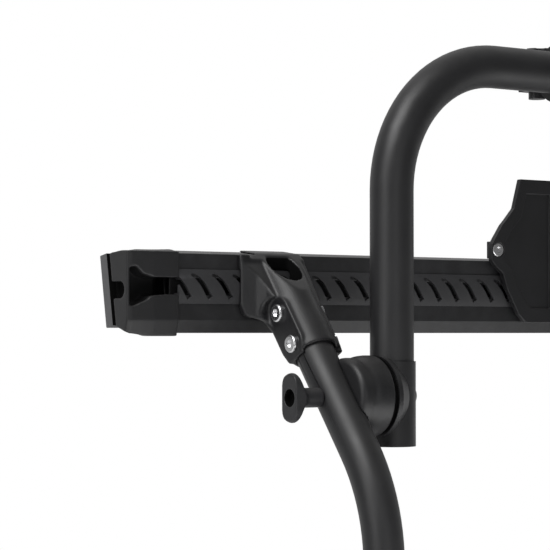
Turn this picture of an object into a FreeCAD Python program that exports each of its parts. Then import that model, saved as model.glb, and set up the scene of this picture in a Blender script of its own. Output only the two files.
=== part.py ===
import FreeCAD, Part

import math
import os

os.makedirs("parts", exist_ok=True)

# Sizes are in millimetres. X runs across the van, Y towards the door and Z up.
# Everything is laid out from the front face and lower edge of the rail,
# then moved so that the origin is the centre of the upper door bolt pattern.

# Clearances
running_fit = 0.08
bolt_fit = 0.25
side_play = 0.3
hub_gap = 0.4

# Upper door bolt pattern
door_face_y = 46.0
door_hole_z = 34.0
door_hole_spacing = 90.0
door_hole_r = 4.5

# Rail
rail_half_length = 470.0
rail_height = 68.0
rail_rise = 3.5
rail_top_depth = 29.5
rail_slant = 10.0
rail_wall = 2.6
bevel_height = 11.0
bevel_depth = 3.5
channel_z = 39.75
channel_opening = 15.0
channel_height = 26.0
channel_depth = 10.0
channel_lip = 3.0

# Rear pads
pad_thickness = 10.7
pad_low = 7.0
pad_rise = 0.7
pad_inner_x = 72.0
spacer_thickness = 4.8
spacer_margin = 5.5
spacer_inset = 7.0

# End caps
cap_length = 50.0
cap_proud = 2.6
cap_lift = 1.2
cap_crest = 2.5
cap_crest_end = 0.5
cap_crest_y = 11.0
cap_low_end = 1.0
cap_back_end = 6.0
cap_back_drop = 4.0
cap_round = 4.0
cap_mouth_depth = 16.0
cap_throat_depth = 22.0
cap_throat_length = 12.0
cap_notch_height = 14.2
cap_notch_depth = 19.5
cap_notch_drop = 3.3

# The mouth in an end cap, by distance from the rail end and height over the channel
cap_mouth_top = [(cap_length + 1, 7.5), (24.0, 7.5), (15.0, 10.2), (9.0, 16.0), (2.5, 16.0)]
cap_mouth_low = [(2.5, -17.0), (6.0, -17.0), (18.0, -12.3), (22.0, -8.8), (24.0, -8.3), (37.0, -7.1),
                 (cap_length + 1, -7.1)]

# Ribbed infill strips
strip_height = 29.5
strip_edge = 1.2
strip_crown = 3.0
strip_inner_x = 40.0
slot_first = 1.4
slot_pitch = 21.2
slot_width = 5.0
slot_half_height = 10.0
clip_thickness = 1.8
clip_depth = 6.0

# The middle line of a slot, in parts of its half height, and the width along it
slot_spine = [(-1.0, 0.97), (-0.75, 0.95), (-0.4, 0.72), (0.05, 0.3), (0.4, -0.2), (0.7, -0.65), (0.95, -1.0)]
slot_shares = [0.45, 0.63, 0.82, 1.0, 1.0, 1.0, 1.0]

# Tube brackets
bracket_x = 318.0
tube_lean = 38.3
socket_r = 20.5
socket_start = 46.0
tube_end = 102.5
mouth_tilt = 37.1
mouth_y = -0.5
mouth_z = 68.0
mouth_reach = 32.0
recess_r = 15.0
recess_tilt = 8.3
recess_y = -12.4
recess_z = 55.9
recess_drop = 20.0
recess_skin = 1.5
clamp_boss_r = 11.0
clamp_boss_depth = 9.0
cross_bolt_first = 57.1
cross_bolt_step = 33.5
ear_r = 14.0
ear_x = 19.0
nut_seat_x = 19.5
nut_seat_r = 8.2
hook_thickness = 2.0
hook_depth = 27.0
hook_left = -22.0
hook_right = 27.5
bead_r = 2.0
bead_side = 20.5
bead_ahead = 8.1
bead_groove_r = 1.5
bead_groove_side = 17.0
bead_groove_ahead = 12.0

# The body of a tube bracket seen from above, from the front and from the side
bracket_plan = [(-41.0, 1.0), (-41.0, -5.0), (-36.0, -9.0), (-30.0, -14.0), (-25.0, -22.0), (-21.0, -34.0),
                (-19.5, -50.0), (-19.5, -68.0), (24.5, -68.0), (25.5, -30.0), (27.5, -8.0), (27.5, 1.0)]
bracket_front = [(-41.0, 90.0), (-41.0, 25.0), (-37.0, 15.0), (-22.0, 10.0), (-19.0, 0.0), (-19.0, -30.0),
                 (24.5, -30.0), (27.5, 10.0), (27.5, 90.0)]
bracket_side = [(1.0, 13.0), (-8.0, 13.0), (-20.0, 1.0), (-36.0, -19.0), (-46.0, -27.0), (-67.0, -16.0),
                (-6.2, 60.9), (-5.0, rail_height - 1), (-5.0, rail_height + 0.6), (1.0, rail_height + 0.6)]

# Bolts
m8_r = 4.0
m8_head_r = 7.75
m8_low_head = 3.4
m8_head_height = 5.6
m8_nut_flats = 13.0
m8_nut_height = 6.5
m6_r = 3.0
m6_head_r = 5.6
m6_head_height = 3.4

# Side tubes
tube_r = 17.0
tube_wall = 2.5
tube_y = -154.0
tube_bend_r = 150.0
tube_bottom_z = -690.0

# Hub of the hoop
hub_y = -87.0
hub_z = -54.0
hub_r = 35.0
hub_start = 5.0
hub_dome = 8.0
saddle_r = 33.0
saddle_dome = 6.0
saddle_end = 17.0
hub_seam = 39.7
hub_plate = 6.0
hub_far_r = 24.0
seam_depth = 3.0
seam_side = 1.8
hub_bolt_r = 5.0
hub_head_r = 6.5
hub_head_height = 3.0
sleeve_wall = 1.5
sleeve_up = 29.8
sleeve_down = 43.0
sleeve_floor = 6.0

# Hub knobs
knob_half_height = 20.8
knob_half_width = 10.5
knob_corner_r = 10.4
knob_rim = 4.5
knob_taper = 12.0
knob_stem_r = 8.3
knob_length = 30.4
knob_recess_r = 7.4
knob_recess_depth = 7.0
knob_thread = 16.0

# Hoop
hoop_x = 257.1
hoop_r = 19.0
hoop_wall = 2.0
hoop_top_z = 237.8
hoop_bend_r = 115.0

# Centre bracket
bridge_thickness = 6.0
bridge_width = 130.0
tongue_width = 40.0
tongue_thickness = 8.0
bridge_ear = 5.0
bridge_ear_half = 8.0
cover_thickness = 5.4
cover_dish = 2.0
cover_bolt_x = 70.0
cover_bolt_z = 78.3
cover_boss_r = 8.2
cover_head_r = 6.8
cover_head_height = 3.0
cover_top_z = 146.0
cover_low_z = 10.0

# The left edge of the centre cover, from the bolt up and from the lower edge to the bolt
cover_left = [(-78.5, 80.0), (-77.5, 84.0), (-74.0, 89.5), (-70.0, 95.0), (-65.5, 101.5), (-60.0, 107.0),
              (-50.0, 118.0), (-42.0, cover_top_z)]
cover_low = [(-36.0, cover_low_z), (-45.0, 18.0), (-58.5, 41.0), (-64.5, 56.5), (-72.0, 62.0), (-78.0, 68.0)]

# Lower frame
crossbar_z = -540.0
crossbar_r = 14.0
standoff_z = -500.0
standoff_r = 12.5
foot_face_y = 30.0
foot_plate = 6.0
foot_pad = 12.0
foot_width = 70.0
foot_height = 96.0
foot_hole_spacing = 64.0

# Platform hinge
pivot_y = -200.0
pivot_z = -650.0
pin_r = 6.0
pin_head_r = 10.0
pin_head_height = 5.0
fork_plate = 6.0
fork_sleeve_r = 21.5
fork_sleeve_top = -600.0
fork_eye_r = 22.0

# Platform arms
arm_width = 30.0
arm_height = 36.0
arm_wall = 2.5
arm_drop = 27.0
arm_end_y = -590.0
eye_r = 16.0
brace_r = 12.5
brace_rear_y = -240.0
brace_front_y = -560.0

# Wheel trays
tray_inner_y = -300.0
tray_outer_y = -520.0
tray_half_length = 630.0
tray_width = 76.0
tray_height = 30.0
tray_wall = 2.5
tray_lip = 5.0
tray_cap = 10.0
tray_bolt_gap = 40.0

# Wheel holders
holder_inset = 130.0
holder_x = tray_half_length - holder_inset
holder_length = 60.0
holder_play = 0.4
holder_floor = 10.0
groove_r = 30.0
post_thickness = 5.0
post_width = 28.0
post_top = 46.0
strap_width = 24.0
strap_thickness = 2.5
arch_z = 42.0
lever_pin_y = -38.5
lever_pin_z = 40.0
lever_pin_r = 2.0
lever_length = 34.0
lever_thickness = 4.0
lever_width = 20.0
lug_width = 4.5

# Bike arms
short_arm_x = -48.0
long_arm_x = 48.0
short_reach = 214.0
long_reach = 434.0
collar_r = 27.0
collar_width = 34.0
collar_slit = 4.0
ear_length = 57.0
ear_height = 24.0
ear_width = 26.0
clamp_y = 46.0
boom_r = 11.0
boom_start = 28.0
boom_socket_r = 15.0
boom_socket_end = 52.0
jaw_gap = 34.0
jaw_height = 72.0
jaw_width = 30.0
jaw_thickness = 13.0
jaw_sleeve = 38.0
slide_sleeve_r = 16.0
star_r = 17.0
star_height = 15.0
star_lobes = 6

X_AXIS = FreeCAD.Vector(1, 0, 0)
Y_AXIS = FreeCAD.Vector(0, 1, 0)
Z_AXIS = FreeCAD.Vector(0, 0, 1)
BIG = 400.0

lean = math.radians(tube_lean)
tube_dir = FreeCAD.Vector(0, math.sin(lean), math.cos(lean))
channel_low = channel_z - channel_height / 2
channel_high = channel_z + channel_height / 2
lever_hub_r = 2 * lever_pin_r
floor_z = pivot_z - arm_drop + tray_wall


def vec(x, y, z):
    return FreeCAD.Vector(x, y, z)


def box(x0, x1, y0, y1, z0, z1):
    return Part.makeBox(x1 - x0, y1 - y0, z1 - z0, vec(x0, y0, z0))


def rod(start, direction, radius, length):
    return Part.makeCylinder(radius, length, start, direction)


def prism_yz(points, x0, x1):
    corners = [vec(x0, y, z) for y, z in points]
    face = Part.Face(Part.makePolygon(corners + corners[:1]))
    return face.extrude(vec(x1 - x0, 0, 0))


def prism_xz(points, y0, y1):
    corners = [vec(x, y0, z) for x, z in points]
    face = Part.Face(Part.makePolygon(corners + corners[:1]))
    return face.extrude(vec(0, y1 - y0, 0))


def prism_xy(points, z0, z1):
    corners = [vec(x, y, z0) for x, y in points]
    face = Part.Face(Part.makePolygon(corners + corners[:1]))
    return face.extrude(vec(0, 0, z1 - z0))


def hexagon(centre, direction, flats, length):
    circle = rod(vec(0, 0, 0), Z_AXIS, flats, length)
    for step in range(6):
        side = box(flats / 2, 2 * flats, -2 * flats, 2 * flats, -1, length + 1)
        side.rotate(vec(0, 0, 0), Z_AXIS, 60 * step)
        circle = circle.cut(side)
    circle.Placement = FreeCAD.Placement(centre, FreeCAD.Rotation(Z_AXIS, direction))
    return circle


def turned(points, centre):
    # A closed outline of distance along X and radius, turned about the X line through centre.
    corners = [vec(a, 0, r) for a, r in points]
    face = Part.Face(Part.makePolygon(corners + corners[:1]))
    solid = face.revolve(vec(0, 0, 0), X_AXIS, 360)
    solid.translate(centre)
    return solid


def arc_points(centre_a, centre_r, radius, start, end, steps):
    found = []
    for step in range(steps + 1):
        angle = math.radians(start + (end - start) * step / steps)
        found.append((centre_a + radius * math.cos(angle), centre_r + radius * math.sin(angle)))
    return found


def joined(shapes):
    solid = shapes[0]
    for shape in shapes[1:]:
        solid = solid.fuse(shape)
    return solid.removeSplitter()


def mirrored(shape):
    return shape.mirror(vec(0, 0, 0), X_AXIS)


def save(name, *shapes):
    moved = []
    for shape in shapes:
        for solid in shape.Solids:
            copy = solid.copy()
            copy.translate(vec(0, -door_face_y, -door_hole_z))
            moved.append(copy)
    whole = moved[0] if len(moved) == 1 else Part.makeCompound(moved)
    whole.exportStep("parts/" + name + ".step")


def star_knob(base, direction, bore_r, bore_depth):
    # A lobed hand knob whose flat underside sits at base, with a blind bore from below.
    body = Part.makeCylinder(star_r, star_height)
    for step in range(star_lobes):
        angle = 2 * math.pi * step / star_lobes
        spot = vec(1.12 * star_r * math.cos(angle), 1.12 * star_r * math.sin(angle), -1)
        body = body.cut(Part.makeCylinder(0.32 * star_r, star_height + 2, spot))
    body = body.cut(Part.makeCylinder(bore_r, bore_depth, vec(0, 0, -1)))
    body.Placement = FreeCAD.Placement(base, FreeCAD.Rotation(Z_AXIS, direction))
    return body


# Rail and its trim

def rail_back(z):
    return rail_top_depth - (rail_height - z) * math.tan(math.radians(rail_slant))


def rail_top(y):
    return rail_height + rail_rise * y / rail_back(rail_height + rail_rise)


def rail_outline():
    crest = rail_height + rail_rise
    return [
        (0, bevel_height),
        (bevel_depth, 0),
        (rail_back(0), 0),
        (rail_back(crest), crest),
        (0, rail_height),
    ]


def rail_space():
    # The full outline of the rail, to cut from the pieces that sit on it.
    return prism_yz(rail_outline(), -rail_half_length, rail_half_length)


def make_rail():
    end = rail_half_length - cap_length
    outer = prism_yz(rail_outline(), -end, end)
    corners = [vec(-end, y, z) for y, z in rail_outline()]
    face = Part.Face(Part.makePolygon(corners + corners[:1]))
    hollow = face.makeOffset2D(-rail_wall, 2).extrude(vec(2 * end, 0, 0))
    depth = channel_lip + channel_depth
    walls = box(-end, end, 0, depth + rail_wall, channel_low - rail_wall, channel_high + rail_wall)
    rail = outer.cut(hollow).fuse(walls)
    rail = rail.cut(box(-end, end, channel_lip, depth, channel_low, channel_high))
    half = channel_opening / 2
    rail = rail.cut(box(-end, end, -1, channel_lip + 1, channel_z - half, channel_z + half))
    return rail.removeSplitter()


def back_layer(low, high, near, far, end_x):
    # A flat layer that follows the slanted back of the rail, between two distances from it.
    slant = math.radians(rail_slant)
    dy, dz = math.cos(slant), -math.sin(slant)
    outline = []
    for z, distance in ((low, near), (high, near), (high, far), (low, far)):
        outline.append((rail_back(z) + distance * dy, z + distance * dz))
    return prism_yz(outline, pad_inner_x, end_x)


def make_pad():
    full = spacer_thickness + pad_thickness
    low, high = pad_low, rail_height + pad_rise
    spacer = back_layer(low + spacer_margin, high - spacer_margin, 0, spacer_thickness + 1,
                        rail_half_length - spacer_inset)
    return joined([spacer, back_layer(low, high, spacer_thickness, full, rail_half_length)])


def cap_outline(proud, low, back_low, back_top, crest):
    top = rail_height + cap_lift
    return [
        (-proud, bevel_height),
        (bevel_depth - proud, low),
        (rail_back(back_low), back_low),
        (rail_back(back_top), back_top),
        (cap_crest_y, top + crest),
        (-proud, top),
    ]


def cap_block():
    # The outer form of the right cap, lofted along the rail.
    inner_x = rail_half_length - cap_length
    wires = []
    for x in (inner_x, inner_x + cap_length / 2, rail_half_length - cap_round, rail_half_length):
        share = (x - inner_x) / cap_length
        late = max(0, 2 * share - 1)
        proud = cap_proud * (1 - late ** 4)
        low = late * cap_low_end - proud
        back_low = late * cap_back_end - proud
        back_top = rail_height + rail_rise + cap_lift / 4 - late * cap_back_drop
        crest = cap_crest + share * (cap_crest_end - cap_crest)
        corners = [vec(x, y, z) for y, z in cap_outline(proud, low, back_low, back_top, crest)]
        wires.append(Part.makePolygon(corners + corners[:1]))
    return Part.makeLoft(wires, True, True)


def make_cap():
    inner_x = rail_half_length - cap_length
    outline = [(rail_half_length - u, channel_z + dz) for u, dz in cap_mouth_top + cap_mouth_low]
    cap = cap_block().cut(prism_xz(outline, -2 * cap_proud, cap_mouth_depth))
    throat_low, throat_high = channel_z + cap_mouth_low[-1][1], channel_z + cap_mouth_top[0][1]
    cap = cap.cut(box(inner_x - 1, inner_x + cap_throat_length, 0, cap_throat_depth, throat_low, throat_high))
    notch_r = cap_notch_height / 2
    notch_z = channel_z - cap_notch_drop
    back = rail_back(channel_z)
    notch_y = back - cap_notch_depth + notch_r
    notch_x = rail_half_length - cap_notch_height / 2
    notch = rod(vec(notch_x, notch_y, notch_z), X_AXIS, notch_r, cap_length)
    slot = box(notch_x, notch_x + cap_length, notch_y, back + notch_r, notch_z - notch_r, notch_z + notch_r)
    cap = cap.cut(notch).cut(slot)
    spigot = box(inner_x - cap_length / 2, inner_x + 1, rail_wall + bevel_depth, rail_back(0) - 2 * rail_wall,
                 2 * rail_wall, channel_low - 2 * rail_wall)
    return cap.fuse(spigot).removeSplitter()


def slot_shape(x):
    # One S-curved slot, leaning from upper left to lower right.
    reach = slot_half_height
    points = [(x + a * reach, channel_z + b * reach) for a, b in slot_spine]
    left, right = [], []
    for index, (px, pz) in enumerate(points):
        before = points[max(index - 1, 0)]
        after = points[min(index + 1, len(points) - 1)]
        dx, dz = after[0] - before[0], after[1] - before[1]
        size = math.hypot(dx, dz)
        wide = slot_width / 2 * slot_shares[index]
        left.append(vec(px - dz / size * wide, -BIG, pz + dx / size * wide))
        right.append(vec(px + dz / size * wide, -BIG, pz - dx / size * wide))
    first = Part.BSplineCurve()
    first.interpolate(left)
    second = Part.BSplineCurve()
    second.interpolate(right[::-1])
    edges = [
        first.toShape(),
        Part.makeLine(left[-1], right[-1]),
        second.toShape(),
        Part.makeLine(right[0], left[0]),
    ]
    return Part.Face(Part.Wire(edges)).extrude(vec(0, 2 * BIG, 0))


def make_strip(side):
    # side is -1 for the left strip and +1 for the right one.
    outer_x = rail_half_length - cap_length
    low, high = channel_z - strip_height / 2, channel_z + strip_height / 2
    arc = Part.Arc(vec(0, -strip_edge, low), vec(0, -strip_crown, channel_z), vec(0, -strip_edge, high))
    outline = [
        Part.makeLine(vec(0, 0, low), vec(0, -strip_edge, low)),
        arc.toShape(),
        Part.makeLine(vec(0, -strip_edge, high), vec(0, 0, high)),
        Part.makeLine(vec(0, 0, high), vec(0, 0, low)),
    ]
    strip = Part.Face(Part.Wire(outline)).extrude(vec(outer_x - strip_inner_x, 0, 0))
    strip.translate(vec(strip_inner_x if side > 0 else -outer_x, 0, 0))
    start = strip_inner_x if side > 0 else -outer_x
    half = channel_opening / 2 - 0.1
    for z in (channel_z - half, channel_z + half - clip_thickness):
        clip = box(start, start + outer_x - strip_inner_x, -strip_edge / 2, clip_depth, z, z + clip_thickness)
        strip = strip.fuse(clip)
    count = int((outer_x - strip_inner_x - slot_first) / slot_pitch) + 1
    for index in range(count):
        strip = strip.cut(slot_shape(side * (outer_x - slot_first - index * slot_pitch)))
    wide = m8_nut_flats + bolt_fit
    strip = strip.cut(box(side * bracket_x - wide, side * bracket_x + wide, 0, BIG, -BIG, BIG))
    spot = vec(side * bracket_x, -BIG / 2, channel_z)
    strip = strip.cut(rod(spot, Y_AXIS, m8_r + bolt_fit, BIG))
    return max(strip.Solids, key=lambda solid: solid.Volume)


# Tube brackets, drawn for the left side about the plane of the left tube

def tube_point(distance, across=0.0, forward=0.0):
    # A point on the leaning part of the left tube, at a distance up from the hub bolt.
    base = vec(-bracket_x + across, hub_y, hub_z)
    ahead = vec(0, -math.cos(lean), math.sin(lean))
    return base + tube_dir * distance + ahead * forward


def cross_distances():
    return (cross_bolt_first, cross_bolt_first + cross_bolt_step)


def ear_plate(start, width):
    # A flat ear round both cross bolts, over a span across the tube.
    first, second = cross_distances()
    plates = [rod(tube_point(distance, start), X_AXIS, ear_r, width) for distance in (first, second)]
    middle = Part.makeBox(width, 2 * ear_r, cross_bolt_step, vec(0, -ear_r, 0))
    middle.rotate(vec(0, 0, 0), X_AXIS, -tube_lean)
    middle.translate(tube_point(first, start))
    return joined(plates + [middle])


def bracket_body():
    # The part between rail and socket: a plan, a front and a side outline that trim each other.
    t = -bracket_x
    body = prism_xy([(t + x, y) for x, y in bracket_plan], -BIG / 4, BIG / 4)
    body = body.common(prism_xz([(t + x, z) for x, z in bracket_front], -BIG, BIG))
    return body.common(prism_yz(bracket_side, t - BIG / 4, t + BIG / 4))


def bracket_hook():
    # The thin lip that lies on the sloped top of the rail.
    t = -bracket_x
    near, far = bracket_side[-3][0], hook_depth
    outline = [(near, rail_height - hook_thickness), (near, rail_height + hook_thickness / 2),
               (far, rail_top(far) + hook_thickness), (far, rail_top(far) - 1),
               (1, rail_height - 1), (1, rail_height - hook_thickness)]
    return prism_yz(outline, t + hook_left, t + hook_right)


def mouth_space():
    # The space over the sloping mouth of the socket.
    above = Part.makeBox(BIG, BIG, BIG, vec(-BIG / 2, -BIG / 2, 0))
    above.rotate(vec(0, 0, 0), X_AXIS, mouth_tilt)
    above.translate(vec(-bracket_x, mouth_y, mouth_z))
    return above.common(rod(tube_point(socket_start), tube_dir, mouth_reach, BIG))


def recess_space():
    # The hollow over the tube end, down to the seat of the rail clamp bolt.
    t = -bracket_x
    tilt = math.radians(recess_tilt)
    up = vec(0, math.sin(tilt), math.cos(tilt))
    floor = vec(t, recess_y, recess_z) - up * recess_drop
    space = rod(floor, up, recess_r, BIG / 4)
    return space.cut(box(t - BIG, t + BIG, -recess_skin, BIG, -BIG, BIG))


def make_bracket():
    t = -bracket_x
    cast = [bracket_body(), rod(tube_point(socket_start), tube_dir, socket_r, tube_end), ear_plate(-ear_x, ear_x)]
    cast.append(rod(tube_point(socket_start + bead_r, bead_side, bead_ahead), tube_dir, bead_r, tube_end))
    cast.append(bracket_hook())
    bracket = joined(cast)
    groove = tube_point(socket_start + bead_r, bead_groove_side, bead_groove_ahead)
    bracket = bracket.cut(rod(groove, tube_dir, bead_groove_r, tube_end))
    bracket = bracket.cut(ear_plate(-ear_x - socket_r, socket_r))
    bracket = bracket.cut(mouth_space())
    bracket = bracket.cut(rod(tube_point(socket_start - tube_r), tube_dir, tube_r, tube_end - socket_start + tube_r))
    bracket = bracket.cut(recess_space())
    bracket = bracket.fuse(rod(vec(t, -clamp_boss_depth, channel_z), Y_AXIS, clamp_boss_r, clamp_boss_depth))
    spot = vec(t, -clamp_boss_depth, channel_z)
    bracket = bracket.cut(rod(spot, Y_AXIS * -1, clamp_boss_r - 2, recess_r))
    bracket = bracket.cut(rod(spot - Y_AXIS, Y_AXIS, m8_r, BIG / 4))
    bracket = bracket.cut(rail_space())
    bracket = bracket.cut(box(t - BIG, t + BIG, 0, BIG, -BIG, rail_height))
    strip_low = channel_z - strip_height / 2 - 0.2
    strip_high = channel_z + strip_height / 2 + 0.2
    bracket = bracket.cut(box(t - BIG, t + BIG, -strip_crown - 0.2, 1, strip_low, strip_high))
    for distance in cross_distances():
        bracket = bracket.cut(rod(tube_point(distance, -BIG / 4), X_AXIS, m8_r, BIG / 2))
        bracket = bracket.cut(rod(tube_point(distance, -ear_x), X_AXIS * -1, m8_head_r + 1, BIG / 4))
        bracket = bracket.cut(rod(tube_point(distance, nut_seat_x), X_AXIS, nut_seat_r, BIG / 4))
    return max(bracket.Solids, key=lambda solid: solid.Volume)


def hex_bolt(start, direction, radius, length, head_r, head_height, flats):
    # A socket-head bolt with its head ending at start and its shank running along direction.
    shank = rod(start, direction, radius, length)
    head = rod(start - direction * head_height, direction, head_r, head_height)
    edge = head_r * 0.14
    cone = Part.makeCone(head_r - edge, head_r, edge, start - direction * head_height, direction)
    cap = head.common(cone.fuse(rod(start - direction * (head_height - edge), direction, head_r, head_height)))
    whole = shank.fuse(cap).removeSplitter()
    socket = hexagon(start - direction * (head_height + 0.1), direction, flats, head_height * 0.65)
    return whole.cut(socket)


def make_cross_bolts():
    # The two bolts through the left bracket and tube, with their nuts.
    found = []
    for distance in cross_distances():
        length = ear_x + nut_seat_x + m8_nut_height
        found.append(hex_bolt(tube_point(distance, -ear_x), X_AXIS, m8_r, length, m8_head_r, m8_low_head,
                              0.8 * m8_head_r))
        nut = hexagon(tube_point(distance, nut_seat_x), X_AXIS, m8_nut_flats, m8_nut_height)
        found.append(nut.cut(rod(tube_point(distance), X_AXIS, m8_r, BIG / 2)))
    return found


def make_rail_clamp():
    # The bolt inside the bracket recess and its nut in the rail channel.
    t = -bracket_x
    seat = -clamp_boss_depth
    bolt = hex_bolt(vec(t, seat, channel_z), Y_AXIS, m8_r, channel_lip + channel_depth - seat - 2,
                    0.8 * m8_head_r, 0.8 * m8_head_height, 0.7 * m8_head_r)
    nut = box(t - m8_nut_flats, t + m8_nut_flats, channel_lip, channel_lip + m8_nut_height,
              channel_low + 1, channel_high - 1)
    return [bolt, nut.cut(rod(vec(t, -1, channel_z), Y_AXIS, m8_r, BIG / 4))]


# Side tubes

def make_side_tube():
    start = tube_point(tube_end)
    corner_z = hub_z - (hub_y - tube_y) / math.tan(lean)
    tangent = tube_bend_r * math.tan(lean / 2)
    corner = vec(-bracket_x, tube_y, corner_z)
    bend_start = corner + tube_dir * tangent
    bend_end = corner - Z_AXIS * tangent
    centre = vec(-bracket_x, tube_y + tube_bend_r, corner_z - tangent)
    outer = []
    for radius in (tube_r, tube_r - tube_wall):
        upper = rod(bend_start, tube_dir, radius, (start - bend_start).Length)
        disc = Part.Face(Part.Wire(Part.makeCircle(radius, bend_end, Z_AXIS)))
        bend = disc.revolve(centre, X_AXIS * -1, tube_lean)
        lower = rod(vec(-bracket_x, tube_y, tube_bottom_z), Z_AXIS, radius, bend_end.z - tube_bottom_z)
        outer.append(joined([upper, bend, lower]))
    tube = outer[0].cut(outer[1])
    for distance in cross_distances():
        tube = tube.cut(rod(tube_point(distance, -BIG / 4), X_AXIS, m8_r, BIG / 2))
    tube = tube.cut(rod(tube_point(0, -BIG / 4), X_AXIS, hub_bolt_r, BIG / 2))
    return tube


def full_tube_space():
    # The space that the leaning part of the left tube fills.
    return rod(tube_point(-60), tube_dir, tube_r, tube_end + 60)


# Hub between the side tube and the hoop

def make_hub_fixed():
    centre = vec(-bracket_x, hub_y, hub_z)
    low_r = hub_r - seam_depth
    outline = arc_points(hub_start + saddle_dome, saddle_r - saddle_dome, saddle_dome, 180, 90, 8)
    outline.append((saddle_end, saddle_r))
    outline += arc_points(saddle_end + hub_dome, hub_r - hub_dome, hub_dome, 180, 90, 8)
    outline += [(hub_seam - seam_side, hub_r), (hub_seam - seam_side, low_r), (hub_seam, low_r),
                (hub_seam, 0), (hub_start, 0)]
    hub = turned(outline, centre)
    hub = hub.cut(full_tube_space())
    hub = hub.cut(rod(tube_point(0, -BIG / 4), X_AXIS, hub_bolt_r, BIG / 2))
    return max(hub.Solids, key=lambda solid: solid.Volume)


def hub_end():
    # The inner end of the moving hub, across from the tube plane.
    return bracket_x - hoop_x + hoop_r + sleeve_wall


def make_hub_moving():
    centre = vec(-bracket_x, hub_y, hub_z)
    start, leg = hub_seam + hub_gap, bracket_x - hoop_x
    low_r = hub_r - seam_depth
    outline = [(start, 0), (start, low_r), (start + seam_side, low_r), (start + seam_side, hub_r),
               (start + hub_plate, hub_r), (leg, hub_far_r), (leg, 0)]
    hub = turned(outline, centre)
    sleeve = rod(vec(-hoop_x, hub_y, hub_z - sleeve_down), Z_AXIS, hoop_r + sleeve_wall, sleeve_down + sleeve_up)
    boss = rod(vec(-hoop_x, hub_y, hub_z), X_AXIS, hub_head_r + 2, hoop_r + sleeve_wall)
    hub = joined([hub, sleeve, boss])
    hub = hub.cut(box(-BIG - bracket_x, start - bracket_x, -BIG, BIG, -BIG, BIG))
    hub = hub.cut(rod(vec(-hoop_x, hub_y, hub_z - sleeve_down + sleeve_floor), Z_AXIS, hoop_r, BIG))
    return hub.cut(rod(tube_point(0, -BIG / 4), X_AXIS, hub_bolt_r + running_fit, BIG / 2))


def make_hub_bolt():
    seat = hub_end() + side_play
    tip = -tube_r - knob_thread
    shank = rod(tube_point(0, tip), X_AXIS, hub_bolt_r, seat - tip)
    head = arc_points(0, 0, hub_head_r, 0, 90, 6)
    dome = [(seat + a * hub_head_height / hub_head_r, r) for a, r in head]
    cap = turned(dome + [(seat, 0)], vec(-bracket_x, hub_y, hub_z))
    return joined([shank, cap])


def make_hub_knob():
    # A wing knob: a flat wide head that runs down to a round stem.
    near = -tube_r - side_play
    far = near - knob_length
    rim = far + knob_rim
    corner = knob_half_height
    outline = [(far, 0), (far, corner - 2), (far + 2, corner), (rim, corner)]
    for step in range(1, 9):
        share = step / 8
        outline.append((rim + knob_taper * share, knob_stem_r + (corner - knob_stem_r) * (1 - share) ** 2.2))
    outline += [(near, knob_stem_r), (near, 0)]
    knob = turned(outline, vec(-bracket_x, hub_y, hub_z))
    wide, tall = knob_half_width - knob_corner_r, knob_half_height - knob_corner_r
    corners = []
    for y, z, start in ((wide, tall, 0), (-wide, tall, 90), (-wide, -tall, 180), (wide, -tall, 270)):
        corners += arc_points(y, z, knob_corner_r, start, start + 90, 6)
    head = prism_yz([(hub_y + y, hub_z + z) for y, z in corners], far - bracket_x - 1, near - bracket_x + 1)
    knob = knob.common(head)
    tip = -tube_r - knob_thread
    knob = knob.cut(rod(tube_point(0, tip - 1), X_AXIS, hub_bolt_r + running_fit, BIG / 4))
    return knob.cut(rod(tube_point(0, far - 1), X_AXIS, knob_recess_r, knob_recess_depth + 1))


# Hoop

def hoop_solid(radius):
    low = hub_z - sleeve_down + sleeve_floor
    bend_z = hoop_top_z - hoop_bend_r
    bend_x = hoop_x - hoop_bend_r
    pieces = [rod(vec(-bend_x, hub_y, hoop_top_z), X_AXIS, radius, 2 * bend_x)]
    for side in (-1, 1):
        pieces.append(rod(vec(side * hoop_x, hub_y, low), Z_AXIS, radius, bend_z - low))
        disc = Part.Face(Part.Wire(Part.makeCircle(radius, vec(side * hoop_x, hub_y, bend_z), Z_AXIS)))
        pieces.append(disc.revolve(vec(side * bend_x, hub_y, bend_z), Y_AXIS * -side, 90))
    return joined(pieces)


def make_hoop():
    hoop = hoop_solid(hoop_r).cut(hoop_solid(hoop_r - hoop_wall))
    for side in (-1, 1):
        spot = vec(side * hoop_x - BIG / 8, hub_y, hub_z)
        hoop = hoop.cut(rod(spot, X_AXIS, hub_bolt_r + running_fit, BIG / 4))
    return hoop


# Centre bracket

def make_door_bracket():
    half = tongue_width / 2
    low = rail_height / 6
    top = rail_height + rail_rise + tongue_thickness
    ear = cover_bolt_x + bridge_ear
    front = box(-ear, ear, -bridge_thickness, 0, cover_bolt_z - bridge_ear_half, cover_bolt_z + bridge_ear_half)
    lower = box(-cover_bolt_x / 2, cover_bolt_x / 2, -bridge_thickness, 0, cover_low_z + 6, cover_bolt_z)
    upper = box(-half, half, -bridge_thickness, 0, cover_bolt_z, cover_top_z - 12)
    tongue = box(-half, half, -bridge_thickness, door_face_y, rail_height, top)
    back = box(-half, half, door_face_y - bridge_thickness, door_face_y, low, top)
    plate = box(-bridge_width / 2, bridge_width / 2, door_face_y - bridge_thickness, door_face_y,
                low, rail_height - 4)
    bracket = joined([front, lower, upper, tongue, back, plate]).cut(rail_space())
    for side in (-1, 1):
        hole = rod(vec(side * door_hole_spacing / 2, 0, door_hole_z), Y_AXIS, door_hole_r, BIG)
        bracket = bracket.cut(hole)
        bracket = bracket.cut(rod(vec(side * cover_bolt_x, -BIG / 2, cover_bolt_z), Y_AXIS, m8_r, BIG))
    return bracket


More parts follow.
